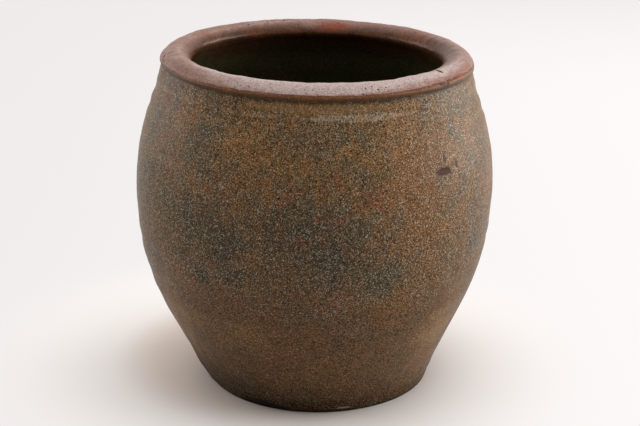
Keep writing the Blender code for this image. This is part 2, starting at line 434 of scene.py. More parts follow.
# Light from the world: the direction it comes from, how sharply it ends, its levels, and where the sky starts
BRIGHT_SIDE = (0.47, 0.88, 0.0)
BRIGHT_EDGE = 0.35
BACK_LEVEL = 1.60
FRONT_LEVEL = 0.11
SKY_LEVEL = 0.40
SKY_EDGE = (0.35, 0.75)
BACKDROP_LEVEL = 0.86
STUDIO_WHITE = (1.0, 0.985, 0.975)

# Lamps: name, place, width, height and power
LAMPS = (
    ("key", (2.1, 0.3, 0.36), 2.0, 1.0, 48),
    ("fill", (-1.5, 0.40, 0.60), 1.2, 0.8, 8),
    ("top", (0.0, 0.0, 1.5), 1.6, 1.6, 12),
)
LAMP_TARGET = (0, 0, 0.17)

# Floor. The middle of its shaded part lies left of the crock and behind it, where the shadow falls
FLOOR_HALF = 6.0
SHADE_MIDDLE = (-0.035, 0.030, 0.0)
FLOOR_FADE = (0.150, 0.345)
# Near the crock the paper is painted darker and warmer: a painted shadow, tinted like the crock's bounce
# light
PAINTED_SHADOW_REACH = (0.115, 0.180)
PAINTED_SHADOW_PAPER = (0.80, 0.69, 0.615)
PALE_PAPER = (0.92, 0.876, 0.845)
PAPER_ROUGHNESS = 0.9
PAPER_SPECULAR = 0.2
BACKDROP_COLOUR = (0.863, 0.831, 0.823)
# From where to where the far floor's brightness changes, and from what to what: away, and across the picture,
# where it ends at the brightness that it has away
BACKDROP_AWAY = (0.9, 3.0, 1.16, 0.86)
BACKDROP_ASIDE = (-0.7, 0.7, 1.00)


def bezier(start, first, second, end):
    """Points (radius, height) on a cubic Bezier curve."""
    share = np.linspace(0, 1, CURVE_STEPS)[:, None]
    rest = 1 - share
    points = [np.array(point) for point in (start, first, second, end)]
    weights = (rest**3, 3 * rest**2 * share, 3 * rest * share**2, share**3)
    return sum(weight * point for weight, point in zip(weights, points))


def wall_curve():
    """The wall's outer face from the foot to the neck, as part.py turns it."""
    rise = SEAT_HEIGHT - BELLY_HEIGHT
    foot_pull = BELLY_HEIGHT * FOOT_PULL_SHARE
    neck_pull = rise * NECK_PULL_SHARE
    lower = bezier(
        (FOOT_RADIUS, 0),
        (FOOT_RADIUS + foot_pull * math.sin(FOOT_SPLAY), foot_pull * math.cos(FOOT_SPLAY)),
        (BELLY_RADIUS, BELLY_HEIGHT * (1 - BELLY_DOWN_PULL_SHARE)),
        (BELLY_RADIUS, BELLY_HEIGHT),
    )
    upper = bezier(
        (BELLY_RADIUS, BELLY_HEIGHT),
        (BELLY_RADIUS, BELLY_HEIGHT + rise * BELLY_UP_PULL_SHARE),
        (NECK_RADIUS + neck_pull * math.sin(NECK_LEAN), SEAT_HEIGHT - neck_pull * math.cos(NECK_LEAN)),
        (NECK_RADIUS, SEAT_HEIGHT),
    )
    return np.vstack([lower, upper[1:]])


CURVE = wall_curve()
CURVE_SLOPE = np.gradient(CURVE[:, 0]) / np.gradient(CURVE[:, 1])
ANGLES = np.arange(SEGMENTS) * 2 * np.pi / SEGMENTS


def outer(height):
    return np.interp(height, CURVE[:, 1], CURVE[:, 0])


def inner(height):
    """The inner face: one wall in, square to the outer face, with the finger rings pressed into it."""
    slope = np.interp(height, CURVE[:, 1], CURVE_SLOPE)
    turns = np.maximum(height - COVE_TOP, 0) / RING_PITCH
    ring = RING_DEPTH * (1 - np.cos(2 * np.pi * turns)) / 2
    return outer(height) - WALL * np.hypot(1, slope) + ring


TOE_RADIUS = inner(SLAB_TOP) - COVE_LEG


def heights(start, end, step):
    return np.linspace(start, end, 1 + math.ceil(abs(end - start) / step))


def arc(centre, start, end, count, fullness=1.0):
    """A quarter of a super-ellipse about a centre, from one of its axis ends to the other."""
    turn = np.linspace(0, np.pi / 2, count)[:, None]
    centre, start, end = (np.array(point) for point in (centre, start, end))
    return centre + (start - centre) * np.cos(turn) ** fullness + (end - centre) * np.sin(turn) ** fullness


def joined(*stretches):
    """Stretches of one outline, each starting where the last one ends."""
    return np.vstack([stretches[0]] + [stretch[1:] for stretch in stretches[1:]])


def wall_rows(face, start, end, step):
    """Points (radius, height) up or down one face of the wall."""
    rows = heights(start, end, step)
    return np.stack([face(rows), rows], 1)


def level_rows(start, end, height):
    """Points (radius, height) outwards or inwards at one height."""
    radii = heights(start, end, INNER_STEP)
    return np.stack([radii, np.full_like(radii, height)], 1)


def foot_outline():
    """From the underside's middle disc, round the foot's edge, to the top of the slab."""
    flat_end = FOOT_RADIUS - FOOT_EDGE_RADIUS
    edge_height = FOOT_EDGE_RADIUS * FOOT_EDGE_TALLNESS
    return joined(
        level_rows(DISC_RADIUS, flat_end, 0.0),
        arc((flat_end, edge_height), (flat_end, 0), (outer(edge_height), edge_height), FOOT_EDGE_ROWS),
        wall_rows(outer, edge_height, SLAB_TOP, ROW_STEP),
    )


def lip_outline():
    """From the notch under the lip, out and over its crest, to its heel on the collar's inner edge."""
    middle = LIP_RADIUS - LIP_WIDTH / 2
    widest = HEIGHT - LIP_CROWN
    heel = NECK_RADIUS - COLLAR_TOP
    quarter_rows = LIP_ROWS // 4
    return joined(
        arc((NECK_RADIUS, widest), (NECK_RADIUS, SEAT_HEIGHT), (LIP_RADIUS, widest), quarter_rows // 2),
        arc((middle, widest), (LIP_RADIUS, widest), (middle, HEIGHT), quarter_rows, LIP_FULLNESS),
        arc((middle, widest), (middle, HEIGHT), (LIP_RADIUS - LIP_WIDTH, widest), quarter_rows, LIP_FULLNESS),
        arc((heel, widest), (LIP_RADIUS - LIP_WIDTH, widest), (heel, SEAT_HEIGHT), quarter_rows // 2),
    )


def collar_inside():
    """Straight from the lip's heel down to the collar's inner edge."""
    heel = (NECK_RADIUS - COLLAR_TOP, SEAT_HEIGHT)
    edge = (inner(COLLAR_INNER_HEIGHT), COLLAR_INNER_HEIGHT)
    return np.linspace(heel, edge, COLLAR_ROWS)


def cove_outline():
    """The corner coil's hollow face: it leaves along the wall and runs out along the floor."""
    top = np.array((inner(COVE_TOP), COVE_TOP))
    elbow = np.array((inner(SLAB_TOP), SLAB_TOP))
    toe = np.array((TOE_RADIUS, SLAB_TOP))
    share = np.linspace(0, 1, COVE_ROWS)[:, None]
    return (1 - share) ** 2 * top + 2 * share * (1 - share) * elbow + share**2 * toe


# The whole visible skin's section, from the underside over the lip to the crock's floor
STRETCHES = {
    "foot": foot_outline(),
    "lower_outside": wall_rows(outer, SLAB_TOP, LIFT_HEIGHT, ROW_STEP),
    "upper_outside": wall_rows(outer, LIFT_HEIGHT, RIDGE_HEIGHT, ROW_STEP),
    "collar_outside": wall_rows(outer, RIDGE_HEIGHT, SEAT_HEIGHT, ROW_STEP),
    "lip": lip_outline(),
    "collar_inside": collar_inside(),
    "upper_inside": wall_rows(inner, COLLAR_INNER_HEIGHT, LIFT_HEIGHT, INNER_STEP),
    "lower_inside": wall_rows(inner, LIFT_HEIGHT, COVE_TOP, INNER_STEP),
    "cove": cove_outline(),
    "floor": level_rows(TOE_RADIUS, DISC_RADIUS, SLAB_TOP),
}


def smoothstep(low, high, value):
    share = np.clip((value - low) / (high - low), 0, 1)
    return share * share * (3 - 2 * share)


def wrapped(angle):
    return (angle + np.pi) % (2 * np.pi) - np.pi


def bump(value, middle, width):
    """A smooth hill, 1 at its middle."""
    return np.exp(-(((value - middle) / width) ** 2))


def swells(angle, table):
    """The sum of smooth hills round the crock."""
    return sum(size * bump(wrapped(angle - middle), 0, width) for middle, width, size in table)


def unevenness(angle, height, layers, count=28):
    """Smooth random fields over the skin, each mostly between -1 and 1 times its size."""
    total = np.zeros(np.broadcast(angle, height).shape)
    for size, wavelength, seed in layers:
        random = np.random.default_rng(SEED + seed)
        for _ in range(count):
            direction = random.uniform(0, np.pi)
            waves = 2 * np.pi / (wavelength * random.uniform(0.7, 1.5))
            round_the_pot = np.round(BELLY_RADIUS * waves * math.cos(direction))
            up_the_pot = waves * math.sin(direction)
            phase = random.uniform(0, 2 * np.pi)
            wave = np.sin(round_the_pot * angle + up_the_pot * height + phase)
            total += size * math.sqrt(2 / count) * wave
    return total


def hills(angle, height, table):
    """The sum of round hills: angle in degrees, height, half-width, half-height and size."""
    total = np.zeros(np.broadcast(angle, height).shape)
    for degrees, middle, across, up, size in table:
        aside = BELLY_RADIUS * wrapped(angle - math.radians(degrees)) / across
        total += size * np.exp(-(aside**2) - ((height - middle) / up) ** 2)
    return total


def outside_relief(angle, height):
    """How far the outer skin stands off the turned curve."""
    sway = sum(size * np.sin(turns * angle + phase) for size, turns, phase in RING_SWAY)
    ring_height = height + sway + unevenness(angle, height, RING_WANDER)
    rings = sum(swell * bump(ring_height, middle, width) for middle, swell, width in OUTSIDE_RINGS)
    away_from_front = 1 - swells(angle, ((FRONT_ANGLE, FRONT_WIDTH, 1.0),))
    rings = rings * (1 - RING_FADE * away_from_front * smoothstep(*FADE_HEIGHTS, height))
    rings = rings * np.clip(RING_MEAN + unevenness(angle, height, RING_STRENGTH), *RING_LIMITS)
    left = swells(angle, ((FLARE_ANGLE, FLARE_WIDTH, 1.0),))
    flare = FLARE * smoothstep(*FLARE_HEIGHTS, height) - PINCH * bump(height, PINCH_HEIGHT, PINCH_WIDTH)
    hand = unevenness(angle, height, OUTSIDE_UNEVENNESS) + left * flare
    return rings + hand + hills(angle, height, WALL_MARKS)


def lip_relief(angle, radius, height):
    """How far the rolled lip stands off its turned section."""
    across = height + LIP_SKEW * (LIP_RADIUS - radius)
    outwards = smoothstep(LIP_RADIUS - LIP_WIDTH / 2, LIP_RADIUS - LIP_WIDTH / 4, radius)
    return unevenness(angle, across, LIP_UNEVENNESS) + outwards * hills(angle, height, LIP_MARKS)


def lip_shift(angle, radius, height):
    """The lip lies a little further in than it was turned, and is rolled fuller towards the front."""
    rolled = smoothstep(SEAT_HEIGHT, HEIGHT - LIP_CROWN, height)
    across = np.clip((radius - LIP_RADIUS + LIP_WIDTH) / LIP_WIDTH, 0, 1)
    front = smoothstep(0.0, LIP_FRONT_SINE, -np.sin(angle))
    return rolled * (LIP_FRONT_GROWTH * front * across - LIP_TUCK)


def inside_relief(angle, radius, height):
    relief = unevenness(angle, height + radius, INSIDE_UNEVENNESS)
    return relief * smoothstep(0.0, DISC_RADIUS, radius)


def notch_lift(angle, height):
    """How far the hand-set lip's outer notch and what is near it rise from the collar."""
    lift = NOTCH_LIFT + swells(angle, NOTCH_SWELLS)
    below, above = NOTCH_HEIGHTS
    return lift * smoothstep(below, SEAT_HEIGHT, height) * smoothstep(above, SEAT_HEIGHT, height)


def placed(x, y, z):
    """Leans and tilts potted coordinates as the finished crock stands."""
    share = z / HEIGHT
    foot_share = np.clip(1 - share / FOOT_SHIFT_SHARE, 0, 1)
    lean = LEAN[0] * share + LEAN[1] * share**2 + FOOT_SHIFT * foot_share**2
    drop = LIP_TILT * x * smoothstep(*TILT_SHARES, share)
    return np.stack([x + lean, y, z - drop], -1)


def circle(angles, radius, height):
    """Potted coordinates round the crock at a radius and a height."""
    return radius * np.cos(angles), radius * np.sin(angles), height + 0 * angles


def on_circle(angles, radius, height):
    return placed(*circle(angles, radius, height))


def floor_surface(angles, radius, height):
    return on_circle(angles, radius, height + inside_relief(angles, radius, height))


def patches(angle, height, table, seed, wander=0.004):
    """The sum of soft patches. Their outlines wander, so that none is an ellipse."""
    angle = angle + unevenness(angle, height, ((0.045, 0.030, seed),))
    height = height + unevenness(angle, height, ((wander, 0.022, seed + 1),))
    return hills(angle, height, table)


def glaze_line(angle):
    """Where along the lip the outside glaze ends."""
    return GLAZE_LINE + swells(angle, GLAZE_LINE_SWELLS) + unevenness(angle, 0.0, GLAZE_LINE_UNEVENNESS)


def fields_at(angle, height, along):
    """What the finishes read at an angle, a height and a share of the way along the lip."""
    return {
        "ash": patches(angle, height, ASH_PATCHES, 20),
        "ochre": patches(angle, height, OCHRE_PATCHES, 22),
        "red": patches(angle, height, RED_PATCHES, 24),
        "bloom_and_sheen": patches(angle, along, BLOOM_AND_SHEEN_PATCHES, 26, 0.012),
        "flash": patches(angle, along, FLASH_PATCHES, 28, 0.008),
        "smoke_and_shade": patches(angle, along, SMOKE_AND_SHADE_PATCHES, 30, 0.012),
        "bare": along - glaze_line(angle),
        "dark": along - INNER_LINE - swells(angle, INNER_LINE_SWELLS),
        "inside": along + 0 * angle,
    }


class Ring:
    """Points round the crock at one place on its section, with what the finishes read there."""

    def __init__(self, radius, height, along, points, angles=ANGLES, normals=None):
        self.place = np.array((radius, height))
        self.along = along
        self.points = points
        self.normals = normals
        self.potted = np.stack(circle(angles, radius, height), -1)
        self.fields = fields_at(angles, height, along)


class Skin:
    """The whole visible skin of the crock as rings from the underside over the lip to the floor."""

    def __init__(self):
        outline = joined(*STRETCHES.values())
        self.span = {}
        row = 0
        for name, stretch in STRETCHES.items():
            self.span[name] = slice(row, row + len(stretch))
            row += len(stretch) - 1
        points = self.shaped(outline)
        normals = self.normals_of(points)
        along = self.lip_share(len(outline))
        self.rings = [
            Ring(*outline[row], along[row], points[row], normals=normals[row])
            for row in range(len(outline))
        ]

    def shaped(self, outline):
        """The turned outline carried round the crock, with its relief, its hand-set lip and its lean."""
        tangent = np.gradient(outline, axis=0)
        tangent /= np.linalg.norm(tangent, axis=1, keepdims=True)
        radius, height = outline[:, :1], outline[:, 1:]
        relief = self.relief(radius, height)
        rows = np.arange(len(outline))[:, None]
        lip = self.span["lip"]
        shift = lip_shift(ANGLES, radius, height) * ((rows >= lip.start) & (rows < lip.stop))
        lift = notch_lift(ANGLES, height) * (rows < lip.start + LIP_ROWS // 3)
        swollen = radius + shift + relief * tangent[:, 1:]
        raised = height - relief * tangent[:, :1] + lift
        return on_circle(ANGLES, swollen, raised)

    def relief(self, radius, height):
        """Relief per stretch, eased from one to the next at the lip's notch and heel."""
        rows = np.arange(len(radius))[:, None]
        lip = self.span["lip"]
        to_lip = smoothstep(*(lip.start + row for row in NOTCH_EASE), rows)
        to_inside = smoothstep(*(lip.stop + row for row in HEEL_EASE), rows)
        off_ground = np.clip(smoothstep(0.0, OFF_GROUND, height) + (rows > lip.start), 0, 1)
        outside = outside_relief(ANGLES, height) * off_ground
        rolled = lip_relief(ANGLES, radius, height)
        inside = inside_relief(ANGLES, radius, height)
        return (outside * (1 - to_lip) + rolled * to_lip) * (1 - to_inside) + inside * to_inside

    @staticmethod
    def normals_of(points):
        along = np.gradient(points, axis=0)
        around = np.roll(points, -1, axis=1) - np.roll(points, 1, axis=1)
        normals = np.cross(around, along)
        return normals / np.linalg.norm(normals, axis=2, keepdims=True)

    def lip_share(self, count):
        """0 up to the lip's outer notch and 1 from its inner heel on, growing evenly over it."""
        lip = self.span["lip"]
        return np.clip((np.arange(count) - lip.start) / (lip.stop - 1 - lip.start), 0, 1)

    def stretch(self, name):
        return self.rings[self.span[name]]


def joint_face(place, stations):
    """Rings across a joint between two places (radius, height), at stations (share across, rise).

    Nothing shows them, so they keep the turned shape.
    """
    start, end = (np.array(point) for point in place)
    rings = []
    for across, rise in stations:
        radius, height = start + (end - start) * across + (0, rise)
        rings.append(Ring(radius, height, HIDDEN_ALONG, on_circle(ANGLES, radius, height)))
    return rings


class ClayPiece:
    """A closed mesh built from rings of points, each ring joined to the next."""

    def __init__(self, rings, closed=True):
        self.rings = []
        self.ids = []
        self.faces = []
        self.normals = []
        self.smooth = []
        self.closed = closed
        numbers = [self.add(ring) for ring in rings]
        followers = numbers[1:] + numbers[:1] if closed else numbers[1:]
        for low, high in zip(numbers, followers):
            self.strip(low, high)

    def add(self, ring):
        first = self.ids[-1][-1] + 1 if self.ids else 0
        self.ids.append(first + np.arange(len(ring.points)))
        self.rings.append(ring)
        return len(self.rings) - 1

    def keep(self, faces, smooth, normals=None):
        """Keeps faces that all have as many corners. Where normals are zero, Blender works them out."""
        self.faces += faces.tolist()
        self.normals.append(np.zeros((faces.size, 3)) if normals is None else normals)
        self.smooth += [smooth] * len(faces)

    def strip(self, low, high):
        """Quads between two rings of as many points. They are smooth where both rings know their normals."""
        quads = self.quads_between(low, high)
        ends = (self.rings[low].normals, self.rings[high].normals)
        if any(normals is None for normals in ends):
            self.keep(quads, False)
            return
        corners = (ends[0], np.roll(ends[0], -1, 0), np.roll(ends[1], -1, 0), ends[1])
        self.keep(quads, True, np.stack(corners, 1).reshape(-1, 3))

    def quads_between(self, low, high):
        low, high = self.ids[low], self.ids[high]
        return np.stack([low, np.roll(low, -1), np.roll(high, -1), high], -1)

    def halving(self, fine, coarse, inwards):
        """A quad and a triangle for each two steps of the fine ring, down to the coarse ring's one."""
        first, middle, last = fine[::2], fine[1::2], np.roll(fine[::2], -1)
        next_coarse = np.roll(coarse, -1)
        for corners in ((first, middle, coarse), (middle, last, next_coarse, coarse)):
            faces = np.stack(corners, -1)
            self.keep(faces if inwards else faces[:, ::-1], True)

    def disc(self, edge, surface, inwards):
        """Closes a ring with smaller rings and a middle. The faces' order turns with inwards."""
        number = edge
        along = self.rings[edge].along
        radius, height = self.rings[edge].place
        angles = ANGLES
        while radius > DISC_LAST_RING:
            radius -= DISC_STEP
            crowded = 2 * np.pi * radius / len(angles) < DISC_SPACING
            halve = crowded and len(angles) % 2 == 0 and len(angles) > FEWEST_POINTS
            if halve:
                angles = angles[::2]
            smaller = self.add(Ring(radius, height, along, surface(angles, radius, height), angles))
            if halve:
                self.halving(self.ids[number], self.ids[smaller], inwards)
            else:
                ends = (number, smaller) if inwards else (smaller, number)
                self.keep(self.quads_between(*ends), True)
            number = smaller
        middle = self.add(Ring(0.0, height, along, surface(angles[:1], 0.0, height), angles[:1]))
        rim = self.ids[number]
        fan = np.stack([rim, np.roll(rim, -1), np.full_like(rim, self.ids[middle][0])], -1)
        self.keep(fan if inwards else fan[:, ::-1], True)

    def built(self, name, material, sectors):
        mesh = bpy.data.meshes.new(name)
        points = np.concatenate([ring.points for ring in self.rings])
        mesh.from_pydata(points.tolist(), [], self.faces)
        mesh.polygons.foreach_set("use_smooth", self.smooth)
        self.point_field(mesh, "potted", "FLOAT_VECTOR", "vector", [ring.potted for ring in self.rings])
        for field in self.rings[0].fields:
            self.point_field(mesh, field, "FLOAT", "value", [ring.fields[field] for ring in self.rings])
        if self.closed:
            layout = mesh.uv_layers.new(name="OFBake")
            layout.uv.foreach_set("vector", self.sector_layout(sectors).reshape(-1).astype(np.float32))
        mesh.normals_split_custom_set(np.concatenate(self.normals))
        mesh.materials.append(material)
        piece = bpy.data.objects.new(name, mesh)
        bpy.context.scene.collection.objects.link(piece)
        return piece

    @staticmethod
    def point_field(mesh, name, kind, slot, values):
        data = np.concatenate(values).reshape(-1).astype(np.float32)
        mesh.attributes.new(name, kind, "POINT").data.foreach_set(slot, data)

    def sector_layout(self, sectors):
        """Texture places for each corner: the piece cut into equal sectors, unrolled and stacked.

        A hidden or inner strip gets less room than one that shows.
        """
        rooms = []
        for low, high in zip(self.rings, self.rings[1:] + self.rings[:1]):
            length = max(np.linalg.norm(high.place - low.place), SLIP_GAP)
            hidden = low.normals is None or high.normals is None
            rooms.append(length * (HIDDEN_ROOM if hidden else INNER_ROOM if low.along == 1 else 1))
        levels = np.concatenate([[0], np.cumsum(rooms)]) / sum(rooms)
        levels = 2 * LAYOUT_MARGIN + (1 - 4 * LAYOUT_MARGIN) * levels
        per_sector = SEGMENTS // sectors
        step, sector = np.arange(SEGMENTS) % per_sector, np.arange(SEGMENTS) // per_sector
        span = 1 - 2 * LAYOUT_MARGIN
        left, right = (LAYOUT_MARGIN + span * edge / per_sector for edge in (step, step + 1))
        places = []
        for low, high in zip(levels, levels[1:]):
            down, up = ((sector + level) / sectors for level in (low, high))
            places.append(np.stack([left, down, right, down, right, up, left, up], -1))
        return np.concatenate(places)


class Sheet:
    """A node sheet, with short ways to add the nodes that the materials and the world use."""

    def __init__(self, owner):
        owner.use_nodes = True
        self.nodes = owner.node_tree.nodes
        self.links = owner.node_tree.links

    def set(self, socket, value):
        if isinstance(value, bpy.types.NodeSocket):
            self.links.new(value, socket)
        elif isinstance(value, tuple) and len(value) == 3 and len(socket.default_value) == 4:
            socket.default_value = (*value, 1)
        else:
            socket.default_value = value

    def add(self, kind, *values, **settings):
        """A new node with its settings and the values of its first sockets."""
        node = self.nodes.new("ShaderNode" + kind)
        for name, setting in settings.items():
            setattr(node, name, setting)
        for socket, value in zip(node.inputs, values):
            self.set(socket, value)
        return node

    def math(self, operation, *values):
        return self.add("Math", *values, operation=operation).outputs[0]

    def sum(self, *terms):
        """The sum of terms, each a value or a (value, factor) pair."""
        total = 0.0
        for term in terms:
            value, factor = term if isinstance(term, tuple) else (term, 1.0)
            total = self.math("MULTIPLY_ADD", value, factor, total)
        return total

    def times(self, first, *others):
        for other in others:
            first = self.math("MULTIPLY", first, other)
        return first

    def ramp(self, value, low, high, start=0.0, end=1.0):
        """A smooth step from start to end as the value goes from low to high."""
        return self.add("MapRange", value, low, high, start, end, interpolation_type="SMOOTHSTEP").outputs[0]

    def lerp(self, share, first, second, kind="VALUE", data_type="FLOAT"):
        """A number between two, by a share."""
        node = self.add("Mix", data_type=data_type)
        sockets = [socket for socket in node.inputs if socket.type == kind and socket.name in "AB"]
        for socket, value in zip((node.inputs[0], *sockets), (share, first, second)):
            self.set(socket, value)
        return [socket for socket in node.outputs if socket.type == kind][0]

    def mix(self, share, first, second):
        """A colour between two, by a share."""
        return self.lerp(share, first, second, "RGBA", "RGBA")


def on_skin(degrees, radius, height):
    """The potted place at an angle in degrees."""
    angle = math.radians(degrees)
    return radius * math.cos(angle), radius * math.sin(angle), height


class ClaySheet(Sheet):
    """The node sheet of one of the crock's materials, which reads where each point was potted."""

    def __init__(self, name):
        self.material = bpy.data.materials.new(name)
        super().__init__(self.material)
        self.shader = self.nodes["Principled BSDF"]
        self.place = self.attribute("potted", "Vector")
        self.across, _, self.height = self.add("SeparateXYZ", self.place).outputs

    def attribute(self, name, output="Fac"):
        return self.add("Attribute", attribute_name=name).outputs[output]

    def scaled_place(self, size, stretch, shift):
        mapping = self.add("Mapping", self.place)
        mapping.inputs["Scale"].default_value = [1 / (size * s) for s in stretch]
        mapping.inputs["Location"].default_value = (shift, 2 * shift, 3 * shift)
        return mapping.outputs[0]

    def noise(self, size, detail=2.0, roughness=0.5, stretch=(1, 1, 1), shift=0.0):
        """Noise over the clay with features of a size in metres, longer along a stretched axis."""
        node = self.add("TexNoise", self.scaled_place(size, stretch, shift))
        for name, value in (("Scale", 1.0), ("Detail", detail), ("Roughness", roughness)):
            node.inputs[name].default_value = value
        return node.outputs["Fac"]

    def grains(self, size, shift=0.0):
        """Three random values between 0 and 1 for each grain of a size in metres."""
        node = self.add("TexVoronoi", self.scaled_place(size, (1, 1, 1), shift))
        node.inputs["Scale"].default_value = 1.0
        return tuple(self.add("SeparateXYZ", node.outputs["Color"]).outputs)

    def scaled(self, colour, factor):
        node = self.add("VectorMath", colour, operation="SCALE")
        self.set(node.inputs["Scale"], factor)
        return node.outputs[0]

    def shaded(self, colour, value, low, high, start, end):
        """The colour brightened from start to end as the value goes from low to high."""
        return self.scaled(colour, self.ramp(value, low, high, start, end))

    def spot(self, degrees, radius, height, size, tilt=0.0, ragged=0.25, strength=1.0):
        """A ragged spot on the skin, 0 outside it. Size is its half-width, half-height and depth."""
        mapping = self.add("Mapping", self.place, vector_type="TEXTURE")
        mapping.inputs["Location"].default_value = on_skin(degrees, radius, height)
        mapping.inputs["Rotation"].default_value = (math.radians(tilt), 0, math.radians(degrees))
        across, up, deep = size
        mapping.inputs["Scale"].default_value = (deep, across, up)
        length = self.add("VectorMath", mapping.outputs[0], operation="LENGTH").outputs["Value"]
        edge = self.noise(min(across, up) * SPOT_GRAIN, 2, shift=degrees)
        return self.ramp(self.sum(length, (edge, ragged * 2), -ragged), *SPOT_EDGE, 0.0, strength)

    def dots(self, marks):
        """1 in round dots on the skin, each degrees, radius, height and half-width, and 0 outside them."""
        away = []
        for *place, size in marks:
            distance = self.add("VectorMath", self.place, on_skin(*place), operation="DISTANCE")
            away.append(self.math("DIVIDE", distance.outputs["Value"], size))
        nearest = away[0]
        for other in away[1:]:
            nearest = self.math("MINIMUM", nearest, other)
        return self.ramp(nearest, *DOT_EDGE)


class Finish:
    """One finish on a sheet: its colour, its roughness and how far it stands up, in metres."""

    def __init__(self, sheet, colour, roughness, raised):
        self.sheet = sheet
        self.colour = colour
        self.roughness = roughness
        self.raised = raised

    def under(self, share, other):
        """This finish, covered by another one by a share."""
        sheet = self.sheet
        return Finish(
            sheet,
            sheet.mix(share, self.colour, other.colour),
            sheet.lerp(share, self.roughness, other.roughness),
            sheet.lerp(share, self.raised, other.raised),
        )

    def stained(self, share, colour, roughness=None, raised=0.0):
        """This finish with a stain over a share of it, which may shine otherwise and stand up or lie in."""
        sheet = self.sheet
        return Finish(
            sheet,
            sheet.mix(share, self.colour, colour),
            self.roughness if roughness is None else sheet.lerp(share, self.roughness, roughness),
            sheet.sum(self.raised, (share, raised)) if raised else self.raised,
        )

    def spotted(self, spots):
        """This finish with the ragged spots of a table on it."""
        finish = self
        for *place, colour, roughness, raised in spots:
            finish = finish.stained(self.sheet.spot(*place), colour, roughness, raised)
        return finish


def ash_ground(sheet, upper, cloud, patch, streak, grain):
    """Warm brown below. Above it, grey-green where the ash is thick, ochre and rust where it is thin."""
    ash = sheet.attribute("ash")
    ochre = sheet.attribute("ochre")
    low = sheet.mix(sheet.ramp(cloud, 0.36, 0.64), *LOW_BROWNS)
    low = sheet.mix(sheet.ramp(patch, 0.50, 0.72, 0.0, 0.6), low, LOW_RED_BROWN)
    low = sheet.mix(sheet.ramp(ochre, 0.1, 1.0, 0.0, 0.8), low, LOW_OCHRE)
    thick = sheet.sum((patch, 0.6), (streak, 0.5), (cloud, 0.4), (ash, 0.18), (ochre, -0.26), -0.10)
    colour = sheet.mix(upper, low, sheet.mix(sheet.ramp(thick, 0.40, 0.96), *HIGH_ASH))
    brushed = sheet.noise(0.0015, 2, 0.6, stretch=(1, 1, 7), shift=12.4)
    colour = sheet.shaded(colour, brushed, 0.34, 0.66, 0.90, 1.10)
    rusty = sheet.sum(sheet.attribute("red"), sheet.noise(0.0085, 2, 0.6, shift=9.2))
    colour = sheet.mix(sheet.ramp(rusty, 0.58, 1.25, 0.0, 0.8), colour, RUST)
    colour = sheet.shaded(colour, grain, 0.32, 0.68, 0.76, 0.92)
    colour = sheet.shaded(colour, sheet.sum(sheet.height, (cloud, 0.06)), 0.200, 0.285, 0.80, 1.06)
    colour = sheet.shaded(colour, ash, 0.1, 1.1, 1.0, 0.82)
    bright = sheet.ramp(sheet.times(upper, ochre), 0.1, 0.9, 0.0, 0.6)
    colour = sheet.mix(bright, colour, BRIGHT_OCHRE)
    # Painted light: the front of the shoulder is brightened by up to 22 %
    painted_front_light = sheet.spot(-90.0, outer(0.2740), 0.2740, (0.100, 0.026, 0.060), ragged=0.3)
    return sheet.scaled(colour, sheet.sum((painted_front_light, 0.22), 1.0))


def ash_grains(sheet, colour, upper, patch, tone, tint, spark):
    """Dark and light grains under 1 mm, pale flecks and pinpricks, and a few tan ones."""
    colour = sheet.mix(sheet.ramp(tone, 0.62, 0.05, 0.0, 0.94), colour, DARK_GRAIN)
    colour = sheet.shaded(colour, tone, 0.45, 1.0, 1.0, 1.46)
    fleck = sheet.times(sheet.ramp(tone, 0.55, 1.0), sheet.sum((upper, 0.03), 0.09))
    colour = sheet.mix(fleck, colour, PALE_FLECK)
    pinprick = sheet.times(sheet.ramp(spark, 0.86, 0.94), sheet.sum((upper, 0.20), (patch, 0.14), 0.09))
    colour = sheet.mix(pinprick, colour, PINPRICK)
    return sheet.mix(sheet.ramp(tint, 0.84, 0.96, 0.0, 0.28), colour, TAN_GRAIN)


def ash_glaze(sheet):
    """Satin ash glaze, speckled above and plainer below, dark and dull at the foot, partly as painted shade.
    """
    cloud = sheet.noise(0.040, 3, 0.55, shift=3.1)
    patch = sheet.noise(0.012, 3, 0.55, stretch=(1, 1, 1.4), shift=1.7)
    streak = sheet.noise(0.0060, 2, 0.6, stretch=(1, 1, 5), shift=5.3)
    grain = sheet.noise(0.0034, 2, 0.6, shift=0.4)
    tone, tint, spark = sheet.grains(0.00068, 7.9)
    upper = sheet.ramp(sheet.sum(sheet.height, (cloud, 0.13), (streak, 0.02)), 0.170, 0.235)
    # Darker towards the foot and higher up on the left: partly the glaze's own dark foot, partly painted
    # shade by the floor
    foot = sheet.ramp(sheet.sum(sheet.height, (patch, 0.016), (sheet.across, 0.14)), 0.056, 0.008)
    colour = ash_ground(sheet, upper, cloud, patch, streak, grain)
    colour = sheet.mix(sheet.times(foot, 0.90), colour, FOOT_BROWN_AND_SHADE)
    colour = ash_grains(sheet, colour, upper, patch, tone, tint, spark)
    roughness = sheet.lerp(foot, sheet.sum((grain, 0.20), (tone, 0.12), 0.30), 0.80)
    raised = sheet.sum((grain, 0.00018), (patch, 0.0003), (tone, 0.00007))
    return Finish(sheet, colour, roughness, raised)


def inner_glaze(sheet):
    """Dark green-black glaze of the inside, redder just under the lip."""
    cloud = sheet.noise(0.030, 4, 0.6, shift=2.2)
    grain = sheet.noise(0.0022, 2, 0.6, shift=6.1)
    clouded = sheet.ramp(cloud, 0.35, 0.65)
    near_lip = sheet.ramp(sheet.sum(sheet.height, (cloud, 0.02)), 0.296, 0.318)
    colour = sheet.mix(near_lip, sheet.mix(clouded, *INNER_GREENS), sheet.mix(clouded, *INNER_BROWNS))
    colour = sheet.shaded(colour, grain, 0.3, 0.7, 0.7, 1.3)
    raised = sheet.sum((cloud, 0.0004), (grain, 0.00005))
    return Finish(sheet, colour, sheet.sum((grain, 0.15), 0.22), raised)


